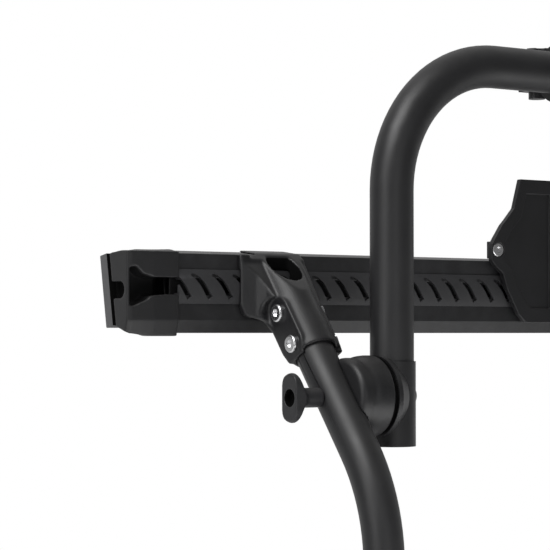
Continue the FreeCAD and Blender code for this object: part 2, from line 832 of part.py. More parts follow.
def make_cover():
    front_y = -bridge_thickness - cover_thickness
    outline = cover_left + [(-x, z) for x, z in cover_left[::-1]]
    outline += [(-x, z) for x, z in cover_low[::-1]] + cover_low
    plate = prism_xz(outline, front_y, -bridge_thickness)
    inner = [(0.82 * x, cover_bolt_z + 0.8 * (z - cover_bolt_z)) for x, z in outline]
    cover = plate.cut(prism_xz(inner, front_y - 1, front_y + cover_dish))
    for side in (-1, 1):
        boss = rod(vec(side * cover_bolt_x, front_y, cover_bolt_z), Y_AXIS, cover_boss_r, cover_thickness)
        cover = cover.fuse(boss)
    rib = box(-cover_thickness, cover_thickness, front_y, -bridge_thickness, cover_low_z + 1, cover_top_z - 1)
    cover = joined([cover, rib])
    for side in (-1, 1):
        cover = cover.cut(rod(vec(side * cover_bolt_x, -BIG / 2, cover_bolt_z), Y_AXIS, m8_r, BIG))
        sink = rod(vec(side * cover_bolt_x, front_y - 1, cover_bolt_z), Y_AXIS, cover_head_r, cover_head_height + 1)
        cover = cover.cut(sink)
    return cover


def make_cover_bolt(side):
    seat_y = -bridge_thickness - cover_thickness + cover_head_height
    start = vec(side * cover_bolt_x, seat_y, cover_bolt_z)
    return hex_bolt(start, Y_AXIS, m8_r, -seat_y, cover_head_r, cover_head_height, 0.8 * cover_head_r)


# Lower frame

def make_crossbar():
    bar = rod(vec(-bracket_x, tube_y, crossbar_z), X_AXIS, crossbar_r, 2 * bracket_x)
    bar = bar.cut(rod(vec(-bracket_x, tube_y, crossbar_z), X_AXIS, crossbar_r - tube_wall, 2 * bracket_x))
    for side in (-1, 1):
        bar = bar.cut(rod(vec(side * bracket_x, tube_y, crossbar_z - 50), Z_AXIS, tube_r, 100))
    return bar


def make_standoff():
    face = foot_face_y - foot_pad - foot_plate
    tube = rod(vec(-bracket_x, tube_y, standoff_z), Y_AXIS, standoff_r, face - tube_y)
    tube = tube.cut(rod(vec(-bracket_x, tube_y, standoff_z), Y_AXIS, standoff_r - tube_wall, face - tube_y))
    tube = tube.cut(rod(vec(-bracket_x, tube_y, standoff_z - 50), Z_AXIS, tube_r, 100))
    plate = box(-bracket_x - foot_width / 2, -bracket_x + foot_width / 2, face, face + foot_plate,
                standoff_z - foot_height / 2, standoff_z + foot_height / 2)
    standoff = joined([tube, plate])
    for side in (-1, 1):
        spot = vec(-bracket_x, face - 1, standoff_z + side * foot_hole_spacing / 2)
        standoff = standoff.cut(rod(spot, Y_AXIS, door_hole_r, BIG))
    return standoff


def make_foot_pad():
    y = foot_face_y - foot_pad
    pad = box(-bracket_x - foot_width / 2, -bracket_x + foot_width / 2, y, foot_face_y,
              standoff_z - foot_height / 2, standoff_z + foot_height / 2)
    for side in (-1, 1):
        spot = vec(-bracket_x, y - 1, standoff_z + side * foot_hole_spacing / 2)
        pad = pad.cut(rod(spot, Y_AXIS, door_hole_r, BIG))
    return pad


def make_fork():
    t = -bracket_x
    inner = arm_width / 2 + side_play
    sleeve = rod(vec(t, tube_y, tube_bottom_z - 8), Z_AXIS, fork_sleeve_r, fork_sleeve_top - tube_bottom_z + 8)
    pieces = [sleeve]
    top, low = pivot_z + fork_eye_r, pivot_z - arm_drop - arm_height
    for x in (t - inner - fork_plate, t + inner):
        pieces.append(rod(vec(x, pivot_y, pivot_z), X_AXIS, fork_eye_r, fork_plate))
        pieces.append(prism_yz([(pivot_y, top), (tube_y, top), (tube_y, low), (pivot_y + 4, low),
                                (pivot_y - fork_eye_r, pivot_z)], x, x + fork_plate))
    stop_y = pivot_y + eye_r + 8
    pieces.append(box(t - inner - 1, t + inner + 1, stop_y, tube_y, low, pivot_z - eye_r - 4))
    fork = joined(pieces)
    fork = fork.cut(rod(vec(t, tube_y, tube_bottom_z), Z_AXIS, tube_r, BIG))
    return fork.cut(rod(vec(t - BIG / 4, pivot_y, pivot_z), X_AXIS, pin_r, BIG / 2))


def make_hinge_pin():
    half = arm_width / 2 + side_play + fork_plate
    pin = rod(vec(-bracket_x - half, pivot_y, pivot_z), X_AXIS, pin_r, 2 * half)
    heads = []
    for x in (-bracket_x - half - pin_head_height, -bracket_x + half):
        heads.append(rod(vec(x, pivot_y, pivot_z), X_AXIS, pin_head_r, pin_head_height))
    return joined([pin] + heads)


# Platform

def make_platform_arm():
    t = -bracket_x
    half = arm_width / 2
    top = pivot_z - arm_drop
    low = top - arm_height
    rear = pivot_y + eye_r + 8 - side_play
    beam = box(t - half, t + half, arm_end_y, rear, low, top)
    eye = rod(vec(t - half, pivot_y, pivot_z), X_AXIS, eye_r, arm_width)
    web = prism_yz([(pivot_y - eye_r, pivot_z), (pivot_y + eye_r, pivot_z), (rear, top + 1), (rear, top - 1),
                    (pivot_y - 3 * eye_r, top - 1), (pivot_y - 2.2 * eye_r, top + 1)], t - half, t + half)
    arm = joined([beam, eye, web])
    hollow = box(t - half + arm_wall, t + half - arm_wall, arm_end_y + arm_wall, pivot_y - 3 * eye_r,
                 low + arm_wall, top - arm_wall)
    arm = arm.cut(hollow)
    arm = arm.cut(rod(vec(t - BIG / 4, pivot_y, pivot_z), X_AXIS, pin_r + running_fit, BIG / 2))
    for tray_y in (tray_inner_y, tray_outer_y):
        for side in (-1, 1):
            spot = vec(t, tray_y + side * tray_bolt_gap / 2, low)
            arm = arm.cut(rod(spot, Z_AXIS, m6_r, BIG))
    return arm


def make_brace(y):
    half = bracket_x - arm_width / 2
    z = pivot_z - arm_drop - arm_height / 2
    bar = rod(vec(-half, y, z), X_AXIS, brace_r, 2 * half)
    return bar.cut(rod(vec(-half, y, z), X_AXIS, brace_r - tube_wall, 2 * half))


def tray_outline(inset):
    half = tray_width / 2 - inset
    low = floor_z - tray_wall
    high = low + tray_height
    outer = half + (tray_lip if inset == 0 else 0)
    return half, outer, low, high


def make_tray(y):
    # A floor plate and two side rails with lips that turn outwards.
    half, outer, low, high = tray_outline(0)
    floor = box(-tray_half_length, tray_half_length, y - half, y + half, low, low + tray_wall)
    for side in (-1, 1):
        for gap in (-1, 1):
            spot = vec(side * bracket_x, y + gap * tray_bolt_gap / 2, low - 1)
            floor = floor.cut(rod(spot, Z_AXIS, m6_r, tray_height))
    parts = [floor]
    for side in (-1, 1):
        near, out = y + side * (half - tray_wall), y + side * half
        lip = y + side * outer
        outline = [(out, low + tray_wall), (out, high - tray_wall), (lip, high - tray_wall), (lip, high),
                   (near, high), (near, low + tray_wall)]
        parts.append(prism_yz(outline, -tray_half_length, tray_half_length))
    return parts


def make_tray_cap(y, side):
    half, outer, low, high = tray_outline(0)
    outline = [(y - half, low), (y + half, low), (y + outer, high), (y - outer, high)]
    x = tray_half_length if side > 0 else -tray_half_length - tray_cap
    cap = prism_yz(outline, x, x + tray_cap)
    inner = half - tray_wall
    depth = 2 * tray_cap
    x = tray_half_length - depth if side > 0 else -tray_half_length
    return cap.fuse(box(x, x + depth, y - inner, y + inner, low + tray_wall, low + 2 * tray_wall))


def make_tray_bolt(x, y):
    start = vec(x, y, floor_z)
    drop = tray_wall + arm_height - arm_wall
    return hex_bolt(start, Z_AXIS * -1, m6_r, drop, m6_head_r, m6_head_height, m6_head_r)


# Wheel holders

def make_holder(x, y):
    half = tray_width / 2 - tray_wall - holder_play
    length = holder_length / 2
    z = floor_z
    base = box(x - length, x + length, y - half, y + half, z, z + holder_floor)
    base = base.cut(rod(vec(x - length - 1, y, z + groove_r + 4), X_AXIS, groove_r, holder_length + 2))
    pieces = [base]
    inner = half - post_thickness - 1.6
    post = post_width / 2
    for side in (-1, 1):
        y0, y1 = sorted((y + side * inner, y + side * (inner + post_thickness)))
        pieces.append(box(x - post, x + post, y0, y1, z, z + post_top))
    pin_y = y + lever_pin_y
    for x0 in (x - lever_width / 2 - side_play - lug_width, x + lever_width / 2 + side_play):
        pieces.append(box(x0, x0 + lug_width, pin_y, y - inner - 1, z + tray_height + 2, z + post_top))
        pieces.append(rod(vec(x0, pin_y, z + lever_pin_z), X_AXIS, 2 * lever_pin_r, lug_width))
    holder = joined(pieces)
    reach = lever_width / 2 + side_play + lug_width
    return holder.cut(rod(vec(x - reach - 1, pin_y, z + lever_pin_z), X_AXIS, lever_pin_r + running_fit,
                          2 * reach + 2))


def make_strap(x, y):
    outer = tray_width / 2 - tray_wall - holder_play - post_thickness - 1.6
    inner = outer - strap_thickness
    start = x - strap_width / 2
    z = floor_z + arch_z
    ring = rod(vec(start, y, z), X_AXIS, outer, strap_width)
    ring = ring.cut(rod(vec(start, y, z), X_AXIS, inner, strap_width))
    ring = ring.cut(box(start - 1, start + strap_width + 1, y - BIG, y + BIG, z - BIG, z))
    pieces = [ring]
    for side in (-1, 1):
        y0, y1 = sorted((y + side * inner, y + side * outer))
        pieces.append(box(start, start + strap_width, y0, y1, floor_z + holder_floor + 8, z))
    return joined(pieces)


def make_lever(x, y):
    pin_y, pin_z = y + lever_pin_y, floor_z + lever_pin_z
    half = lever_width / 2
    reach = half + side_play + lug_width
    top = pin_z + lever_length
    flat = lever_thickness / 2
    blade = prism_yz([(pin_y - flat, pin_z), (pin_y + flat, pin_z), (pin_y + flat, top - 8),
                      (pin_y, top), (pin_y - 4, top + 1), (pin_y - 5.5, top - 1), (pin_y - flat - 1.5, top - 8)],
                     x - half, x + half)
    hub = rod(vec(x - half, pin_y, pin_z), X_AXIS, lever_hub_r, lever_width)
    pin = rod(vec(x - reach, pin_y, pin_z), X_AXIS, lever_pin_r, 2 * reach)
    return joined([blade, hub, pin])


# Bike arms

def make_collar(x):
    y, z = hub_y, hoop_top_z
    half = collar_width / 2
    ring = rod(vec(x - half, y, z), X_AXIS, collar_r, collar_width)
    ears = box(x - ear_width / 2, x + ear_width / 2, y, y + ear_length, z - ear_height / 2, z + ear_height / 2)
    nose = rod(vec(x, y, z), Y_AXIS * -1, boom_socket_r, boom_socket_end)
    collar = joined([ring, ears, nose])
    collar = collar.cut(box(x - half - 1, x + half + 1, y, y + ear_length + 1,
                            z - collar_slit / 2, z + collar_slit / 2))
    collar = collar.cut(rod(vec(x - half - 1, y, z), X_AXIS, hoop_r + running_fit, collar_width + 2))
    collar = collar.cut(rod(vec(x, y - boom_start, z), Y_AXIS * -1, boom_r, BIG))
    return collar.cut(rod(vec(x, y + clamp_y, z - ear_height), Z_AXIS, m8_r + running_fit, 2 * ear_height))


def make_clamp_knob(x):
    y, z = hub_y + clamp_y, hoop_top_z
    lower = z - ear_height / 2 - side_play
    upper = z + ear_height / 2 + side_play
    knob = star_knob(vec(x, y, upper), Z_AXIS, 0.5, 1.0)
    stud = rod(vec(x, y, lower), Z_AXIS, m8_r, upper - lower + 1)
    tail = rod(vec(x, y, lower - m8_nut_height), Z_AXIS, m8_head_r, m8_nut_height)
    return joined([knob, stud, tail])


def make_boom(x, reach):
    # The arm tube with its fixed outer jaw.
    y, z = hub_y, hoop_top_z
    jaw_y = y - reach - jaw_gap / 2
    length = reach + jaw_gap / 2 + jaw_thickness + 4 - boom_start
    tube = rod(vec(x, y - boom_start, z), Y_AXIS * -1, boom_r, length)
    foot = rod(vec(x, jaw_y, z), Y_AXIS * -1, boom_socket_r, jaw_thickness + 8)
    half = jaw_width / 2
    jaw = prism_yz([(jaw_y, z), (jaw_y, z + jaw_height - 10), (jaw_y + 7, z + jaw_height), (jaw_y, z + jaw_height + 4),
                    (jaw_y - jaw_thickness + 3, z + jaw_height - 6), (jaw_y - jaw_thickness, z + 20),
                    (jaw_y - jaw_thickness - 6, z)], x - half, x + half)
    boom = joined([tube, foot, jaw])
    bore = rod(vec(x, y - boom_start, z), Y_AXIS * -1, boom_r - tube_wall, length - jaw_thickness)
    return boom.cut(bore)


def make_slide_jaw(x, reach):
    y, z = hub_y - reach + jaw_gap / 2, hoop_top_z
    sleeve = rod(vec(x, y, z), Y_AXIS, slide_sleeve_r, jaw_sleeve)
    half = jaw_width / 2
    jaw = prism_yz([(y, z), (y, z + jaw_height - 10), (y - 4, z + jaw_height - 2), (y + 3, z + jaw_height),
                    (y + jaw_thickness - 3, z + jaw_height - 10), (y + jaw_thickness, z + 20),
                    (y + jaw_sleeve - 4, z + 4), (y + jaw_sleeve - 4, z)], x - half, x + half)
    boss = rod(vec(x, y + jaw_sleeve / 2, z - slide_sleeve_r - 8), Z_AXIS, 2.2 * m8_r, slide_sleeve_r + 8)
    jaw = joined([sleeve, jaw, boss])
    jaw = jaw.cut(rod(vec(x, y - 1, z), Y_AXIS, boom_r + running_fit, jaw_sleeve + 2))
    return jaw.cut(rod(vec(x, y + jaw_sleeve / 2, z - BIG), Z_AXIS, m8_r + running_fit, BIG))


def make_slide_knob(x, reach):
    y, z = hub_y - reach + jaw_gap / 2 + jaw_sleeve / 2, hoop_top_z
    base = z - slide_sleeve_r - 8 - side_play
    knob = star_knob(vec(x, y, base), Z_AXIS * -1, 0.5, 1.0)
    stud = rod(vec(x, y, base - 1), Z_AXIS, m8_r, z - boom_r - side_play - base + 1)
    return joined([knob, stud])


def save_frame():
    save("upper_rail", make_rail())
    pad = make_pad()
    save("rear_pads", pad, mirrored(pad))
    cap = make_cap()
    save("end_cap_right", cap)
    save("end_cap_left", mirrored(cap))
    save("infill_left", make_strip(-1))
    save("infill_right", make_strip(1))
    bracket = make_bracket()
    save("tube_bracket_left", bracket)
    save("tube_bracket_right", mirrored(bracket))
    bolts = make_cross_bolts()
    save("bracket_bolts", *(bolts + [mirrored(bolt) for bolt in bolts]))
    clamps = make_rail_clamp()
    save("rail_clamp_bolts", *(clamps + [mirrored(clamp) for clamp in clamps]))
    save("door_bracket", make_door_bracket())
    save("centre_cover", make_cover())
    save("cover_bolts", make_cover_bolt(-1), make_cover_bolt(1))
    tube = make_side_tube()
    save("side_tube_left", tube)
    save("side_tube_right", mirrored(tube))
    hub = make_hub_fixed()
    save("hub_fixed_left", hub)
    save("hub_fixed_right", mirrored(hub))
    save("lower_crossbar", make_crossbar())
    standoff = make_standoff()
    save("standoff_left", standoff)
    save("standoff_right", mirrored(standoff))
    pad = make_foot_pad()
    save("foot_pads", pad, mirrored(pad))
    fork = make_fork()
    save("hinge_fork_left", fork)
    save("hinge_fork_right", mirrored(fork))
    pin = make_hinge_pin()
    save("hinge_pins", pin, mirrored(pin))


def save_hoop():
    save("hoop", make_hoop())
    hub = make_hub_moving()
    save("hub_moving_left", hub)
    save("hub_moving_right", mirrored(hub))
    bolt = make_hub_bolt()
    save("hinge_bolts", bolt, mirrored(bolt))
    knob = make_hub_knob()
    save("hub_knob_left", knob)
    save("hub_knob_right", mirrored(knob))


def save_platform():
    arm = make_platform_arm()
    save("platform_arm_left", arm)
    save("platform_arm_right", mirrored(arm))
    save("cross_tubes", make_brace(brace_rear_y), make_brace(brace_front_y))
    save("tray_inner", *make_tray(tray_inner_y))
    save("tray_outer", *make_tray(tray_outer_y))
    caps = []
    bolts = []
    for y in (tray_inner_y, tray_outer_y):
        for side in (-1, 1):
            caps.append(make_tray_cap(y, side))
            for gap in (-1, 1):
                bolts.append(make_tray_bolt(side * bracket_x, y + gap * tray_bolt_gap / 2))
    save("tray_caps", *caps)
    save("tray_bolts", *bolts)


def save_holders():
    for row, y in (("inner", tray_inner_y), ("outer", tray_outer_y)):
        for name, x in (("left", -holder_x), ("right", holder_x)):
            save("wheel_holder_" + row + "_" + name, make_holder(x, y))
            save("wheel_strap_" + row + "_" + name, make_strap(x, y))
            save("wheel_lever_" + row + "_" + name, make_lever(x, y))


def save_arms():
    for name, x, reach in (("short", short_arm_x, short_reach), ("long", long_arm_x, long_reach)):
        save("bike_collar_" + name, make_collar(x))
        save("bike_boom_" + name, make_boom(x, reach))
        save("bike_clamp_knob_" + name, make_clamp_knob(x))
        save("bike_slide_jaw_" + name, make_slide_jaw(x, reach))
        save("bike_slide_knob_" + name, make_slide_knob(x, reach))


save_frame()
save_hoop()
save_platform()
save_holders()
save_arms()
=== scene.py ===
import math

import bmesh
import bpy
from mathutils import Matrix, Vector


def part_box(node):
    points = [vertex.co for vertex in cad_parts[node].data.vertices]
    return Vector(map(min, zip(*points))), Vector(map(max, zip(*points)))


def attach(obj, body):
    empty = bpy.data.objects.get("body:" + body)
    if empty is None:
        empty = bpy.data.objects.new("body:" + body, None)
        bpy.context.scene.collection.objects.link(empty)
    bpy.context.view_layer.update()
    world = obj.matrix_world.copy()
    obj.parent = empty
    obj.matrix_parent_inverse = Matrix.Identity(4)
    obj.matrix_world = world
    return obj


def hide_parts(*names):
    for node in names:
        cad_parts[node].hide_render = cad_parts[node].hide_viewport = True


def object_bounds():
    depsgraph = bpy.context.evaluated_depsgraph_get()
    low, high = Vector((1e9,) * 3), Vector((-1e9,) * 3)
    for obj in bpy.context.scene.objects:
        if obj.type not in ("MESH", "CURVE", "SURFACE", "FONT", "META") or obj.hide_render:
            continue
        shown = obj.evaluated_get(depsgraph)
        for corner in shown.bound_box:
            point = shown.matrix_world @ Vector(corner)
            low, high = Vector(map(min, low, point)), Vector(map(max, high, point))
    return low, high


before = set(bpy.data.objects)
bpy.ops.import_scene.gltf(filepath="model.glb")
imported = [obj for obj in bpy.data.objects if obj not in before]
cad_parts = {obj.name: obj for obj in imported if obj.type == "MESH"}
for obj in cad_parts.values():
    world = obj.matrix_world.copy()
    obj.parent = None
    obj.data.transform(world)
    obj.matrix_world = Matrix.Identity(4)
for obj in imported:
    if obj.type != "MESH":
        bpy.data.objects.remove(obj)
cad_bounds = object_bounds()

bl_info = {
    "name": "Van rear door bike carrier",
    "version": (1, 0, 0),
    "blender": (4, 5, 0),
    "location": "View3D > Sidebar > Carrier",
    "description": "Finishes the bike carrier's pieces and sets the studio round it",
    "category": "Object",
}

MM = 0.001
SIDES = ("left", "right")


def box_mm(node):
    """The lowest and highest corners of a CAD node at rest, in millimetres."""
    return [[value / MM for value in corner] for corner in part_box(node)]


RAIL_LOW, RAIL_HIGH = box_mm("upper_rail")
TUBE_LOW, TUBE_HIGH = box_mm("side_tube_left")
BOLT_LOW, BOLT_HIGH = box_mm("hinge_bolts")
FIXED_LOW, FIXED_HIGH = box_mm("hub_fixed_left")
MOVING_LOW = box_mm("hub_moving_left")[0]
CAP_LOW = box_mm("end_cap_left")[0]
KNOB_LOW = box_mm("hub_knob_left")[0]

# The hollows below are in millimetres, with x counted from the middle of the carrier outwards.
# They get painted shade, a darker finish, since little light reaches them.
RAIL_FRONT, RAIL_FOOT, RAIL_END = RAIL_LOW[1], RAIL_LOW[2], RAIL_HIGH[0]
CAP_END, HUB_END, KNOB_END = -CAP_LOW[0], -FIXED_LOW[0], -KNOB_LOW[0]
BRACKET_X = -(TUBE_LOW[0] + TUBE_HIGH[0]) / 2

# The pocket in a tube bracket: a point on its middle line, its lean, its radius and its floor; its wall
# and floor get painted shade
POCKET_Y, POCKET_Z = RAIL_FRONT - 12.4, RAIL_FOOT + 55.9
POCKET_LEAN = math.tan(math.radians(8.3))
POCKET_R, POCKET_FLOOR = 15.9, RAIL_FOOT + 33.0

# A point on the sloped plane of the pocket's rim, and how far below it the painted shade starts
RIM_Y, RIM_Z = RAIL_FRONT - 0.5, RAIL_FOOT + 68.0
RIM_SLOPE = math.tan(math.radians(37.1))
RIM_DEPTH = 1.5

# The mouth, the throat and the notch of an end cap, as low and high corners; the mouth gets a painted
# half-shade, the throat and notch painted shade
MOUTH_LOW = (RAIL_END - 1.0, RAIL_FRONT + 1.2, RAIL_FOOT + 21.5)
MOUTH_TOP, MOUTH_BACK, THROAT_LENGTH = RAIL_FOOT + 57.0, RAIL_FRONT + 24.0, 16.5
CAP_MOUTH = (MOUTH_LOW, (CAP_END - 1.3, MOUTH_BACK, MOUTH_TOP))
CAP_THROAT = (MOUTH_LOW, (MOUTH_LOW[0] + THROAT_LENGTH, MOUTH_BACK, MOUTH_TOP))
CAP_NOTCH = ((CAP_END - 8.0, RAIL_FRONT + 15.6, RAIL_FOOT + 28.5),
             (CAP_END - 0.8, RAIL_FRONT + 46.0, RAIL_FOOT + 44.3))

# The back of the rail at the height of its top edge, its lean, and the depth of the pad's spacer, which is
# painted dark as the shade in the gap
BACK_Y, BACK_Z = RAIL_FRONT + 29.5, RAIL_FOOT + 68.0
BACK_LEAN = math.tan(math.radians(10.0))
SPACER_DEPTH = 4.9

# The line of the hub bolt
HUB_Y, HUB_Z = (BOLT_LOW[1] + BOLT_HIGH[1]) / 2, (BOLT_LOW[2] + BOLT_HIGH[2]) / 2

# The seam between the two halves of a hub: half its width, and its radius, inside which its groove gets
# painted shade
SEAM_X = -(FIXED_HIGH[0] + MOVING_LOW[0]) / 2
SEAM_HALF, SEAM_R = 2.1, FIXED_HIGH[2] - HUB_Z - 2.0

# The band of a fixed hub where its round body blends into its saddle, counted from its outer end
DOME_NEAR, DOME_FAR, DOME_PASSES = HUB_END - 25.0, HUB_END - 10.5, 160

# The hole in the head of a hub knob, which gets painted shade
HOLE_NEAR, HOLE_FAR, HOLE_R = KNOB_END - 8.7, KNOB_END - 0.7, 7.7

# Widths of broken edges, in metres, and the bend in degrees from which an edge is broken
EDGE_STRIP, EDGE_BOLT, EDGE_STRAP, EDGE_HUB = 0.3 * MM, 0.4 * MM, 0.5 * MM, 0.8 * MM
EDGE_HOLDER, EDGE_ARM, EDGE_COVER, EDGE_CLAMP = 0.9 * MM, 1.0 * MM, 1.2 * MM, 1.4 * MM
EDGE_TRAY_CAP, EDGE_FOOT = 1.5 * MM, 2.0 * MM
EDGE_ANGLE, STRIP_ANGLE = 32.0, 50.0
EDGE_STEPS = 2

# Points closer than this are one point, and how far a smoothing pass moves a point
WELD_GAP = 0.01 * MM
BLEND_FACTOR = 0.5

# The sockets of a colour mix node
MIX_FIRST, MIX_SECOND, MIX_RESULT = 6, 7, 2

# Grain, wear and dust: the height of the grain, how fast wear grows with the bend, and colours; the
# near-black one is painted shade for hollows
GRAIN_HEIGHT = 0.2 * MM
WEAR_GAIN = 9.0
DUST_COLOR = (0.30, 0.29, 0.28, 1)
PAINTED_SHADE_COLOR = (0.002, 0.002, 0.002, 1)
DARK_MOTTLE, PALE_MOTTLE = 0.86, 1.14

# The white wall: the way to it from the object, and where its light starts and ends
WALL_WAY = (0.57, 0.82, 0.0)
WALL_START, WALL_END = -0.1, 0.7

# The floor: the gap under the object, and the shares of its width where it starts and ends to fade
FLOOR_GAP, FLOOR_CELLS = 2.0 * MM, 8
FLOOR_FADE_START, FLOOR_FADE_END = 0.55, 0.97
FLOOR_COLOR = (0.9, 0.9, 0.9, 1)

# The camera: its sensor in millimetres, and how far it sees in metres
SENSOR_WIDTH, CAMERA_FAR = 36.0, 50.0

# Each light: its name, its place, the point that it faces, its width and height, and its power
LIGHTS = (
    ("key_light", (-2.0, -0.7, 2.4), (0, -0.1, -0.1), (1.8, 1.6), "key_power"),
    ("fill_light", (-0.9, -2.9, 0.4), (0, 0, -0.1), (1.6, 1.6), "fill_power"),
    ("side_light", (-2.6, -0.6, 0.5), (-0.2, -0.1, 0), (1.2, 1.6), "side_power"),
    ("low_light", (0.0, -0.9, -0.7), (0.0, -0.9, 0.0), (1.6, 1.0), "low_power"),
)


class CarrierFinish(bpy.types.PropertyGroup):
    """Colours and roughness of the carrier's finishes."""

    coat_color: bpy.props.FloatVectorProperty(
        name="Powder coat", description="Colour of the coated tubes", subtype="COLOR",
        size=4, min=0, max=1, default=(0.012, 0.012, 0.013, 1))
    cast_color: bpy.props.FloatVectorProperty(
        name="Cast parts", description="Colour of the coated castings", subtype="COLOR",
        size=4, min=0, max=1, default=(0.009, 0.009, 0.010, 1))
    rail_color: bpy.props.FloatVectorProperty(
        name="Rail", description="Colour of the anodised rail and trays", subtype="COLOR",
        size=4, min=0, max=1, default=(0.014, 0.014, 0.015, 1))
    plastic_color: bpy.props.FloatVectorProperty(
        name="Moulded parts", description="Colour of caps, knobs and holders", subtype="COLOR",
        size=4, min=0, max=1, default=(0.011, 0.011, 0.012, 1))
    strip_color: bpy.props.FloatVectorProperty(
        name="Ribbed strip", description="Colour of the infill strips", subtype="COLOR",
        size=4, min=0, max=1, default=(0.03, 0.03, 0.032, 1))
    pad_color: bpy.props.FloatVectorProperty(
        name="Door pad", description="Colour of the pad behind the rail", subtype="COLOR",
        size=4, min=0, max=1, default=(0.1, 0.1, 0.103, 1))
    rubber_color: bpy.props.FloatVectorProperty(
        name="Rubber", description="Colour of feet and straps", subtype="COLOR",
        size=4, min=0, max=1, default=(0.01, 0.01, 0.01, 1))
    zinc_color: bpy.props.FloatVectorProperty(
        name="Bolts", description="Colour of the plated bolts", subtype="COLOR",
        size=4, min=0, max=1, default=(0.72, 0.72, 0.73, 1))
    coat_roughness: bpy.props.FloatProperty(
        name="Coat roughness", description="Roughness of the powder coat", min=0, max=1, default=0.45)
    cast_roughness: bpy.props.FloatProperty(
        name="Cast roughness", description="Roughness of the castings", min=0, max=1, default=0.42)
    plastic_roughness: bpy.props.FloatProperty(
        name="Plastic roughness", description="Roughness of moulded parts", min=0, max=1, default=0.46)


class CarrierSizes(bpy.types.PropertyGroup):
    """Small sizes that the drawing leaves to the finish."""

    edge_round: bpy.props.FloatProperty(
        name="Edge rounding", description="Radius of broken edges", unit="LENGTH", subtype="DISTANCE",
        min=0, default=0.6 * MM)
    cast_voxel: bpy.props.FloatProperty(
        name="Casting detail", description="Mesh size of the castings", unit="LENGTH",
        subtype="DISTANCE", min=0.0005, default=0.9 * MM)
    cast_blend: bpy.props.IntProperty(
        name="Casting blend", description="Smoothing passes that round a casting's corners",
        min=0, default=26)
    moulded_blend: bpy.props.IntProperty(
        name="Moulded blend", description="Smoothing passes that round a moulded part's corners",
        min=0, default=4)
    knob_voxel: bpy.props.FloatProperty(
        name="Knob detail", description="Mesh size of the knobs", unit="LENGTH", subtype="DISTANCE",
        min=0.0004, default=0.55 * MM)


class CarrierStudio(bpy.types.PropertyGroup):
    """The camera and the light round the carrier."""

    camera_place: bpy.props.FloatVectorProperty(
        name="Camera", description="Camera position", subtype="XYZ", unit="LENGTH", size=3,
        default=(-1.3844, -1.5677, -0.034))
    camera_turn: bpy.props.FloatProperty(
        name="Turn", description="Camera turned from straight ahead to the right", unit="ROTATION",
        subtype="ANGLE", default=math.radians(35.0))
    camera_rise: bpy.props.FloatProperty(
        name="Rise", description="Camera tilted up from level", unit="ROTATION", subtype="ANGLE",
        default=math.radians(1.57))
    camera_lens: bpy.props.FloatProperty(
        name="Lens", description="Focal length", unit="CAMERA", min=1, default=138.6)
    key_power: bpy.props.FloatProperty(
        name="Key light", description="Power of the large top light", unit="POWER", min=0, default=66.0)
    fill_power: bpy.props.FloatProperty(
        name="Fill light", description="Power of the front light", unit="POWER", min=0, default=5.0)
    side_power: bpy.props.FloatProperty(
        name="Side light", description="Power of the side light", unit="POWER", min=0, default=12.0)
    low_power: bpy.props.FloatProperty(
        name="Low light", description="Power of the light that rises from the floor", unit="POWER",
        min=0, default=10.0)
    front_light: bpy.props.FloatProperty(
        name="Room light", description="Strength of the room light from the camera's side", min=0,
        default=0.16)
    back_light: bpy.props.FloatProperty(
        name="Wall light", description="Strength of the light from the wall behind", min=0, default=0.65)
    floor_size: bpy.props.FloatProperty(
        name="Floor", description="Half the width of the floor", unit="LENGTH", subtype="DISTANCE",
        min=1, default=3.0)


def finish():
    """The colours and roughness set in the scene."""
    return bpy.context.scene.carrier_finish


def sizes():
    """The finishing sizes set in the scene."""
    return bpy.context.scene.carrier_sizes


def studio():
    """The camera and light values set in the scene."""
    return bpy.context.scene.carrier_studio


# Node trees

def add_node(tree, kind, values=None, **settings):
    """A node with its settings, and with the default values of its inputs."""
    made = tree.nodes.new(kind)
    for name, value in settings.items():
        setattr(made, name, value)
    for name, value in (values or {}).items():
        made.inputs[name].default_value = value
    return made


def wire(tree, start, end):
    """Links an output to an input."""
    tree.links.new(start, end)


def new_group(name, inputs, outputs):
    """An empty shader group with float sockets: inputs maps a name to its default."""
    tree = bpy.data.node_groups.new(name, "ShaderNodeTree")
    for label, default in inputs.items():
        socket = tree.interface.new_socket(label, in_out="INPUT", socket_type="NodeSocketFloat")
        socket.default_value = default
    for label in outputs:
        tree.interface.new_socket(label, in_out="OUTPUT", socket_type="NodeSocketFloat")
    return tree, add_node(tree, "NodeGroupInput"), add_node(tree, "NodeGroupOutput")


def math_node(tree, operation, first, second):
    """The result of one operation on two outputs or numbers."""
    made = add_node(tree, "ShaderNodeMath", operation=operation)
    for index, value in enumerate((first, second)):
        if isinstance(value, (int, float)):
            made.inputs[index].default_value = value
        else:
            wire(tree, value, made.inputs[index])
    return made.outputs[0]


def grain_group():
    """Fine orange peel of a coated or moulded surface."""
    tree, start, end = new_group("surface_grain", {"Scale": 900.0, "Soft": 0.5}, ["Height", "Mottle"])
    place = add_node(tree, "ShaderNodeTexCoord")
    fine = add_node(tree, "ShaderNodeTexNoise", {"Detail": 3.0, "Roughness": 0.55})
    wire(tree, place.outputs["Object"], fine.inputs["Vector"])
    wire(tree, start.outputs["Scale"], fine.inputs["Scale"])
    broad = add_node(tree, "ShaderNodeTexNoise", {"Scale": 22.0, "Detail": 4.0, "Roughness": 0.6})
    wire(tree, place.outputs["Object"], broad.inputs["Vector"])
    low = math_node(tree, "MULTIPLY", broad.outputs["Fac"], start.outputs["Soft"])
    wire(tree, math_node(tree, "ADD", fine.outputs["Fac"], low), end.inputs["Height"])
    wire(tree, broad.outputs["Fac"], end.inputs["Mottle"])
    return tree


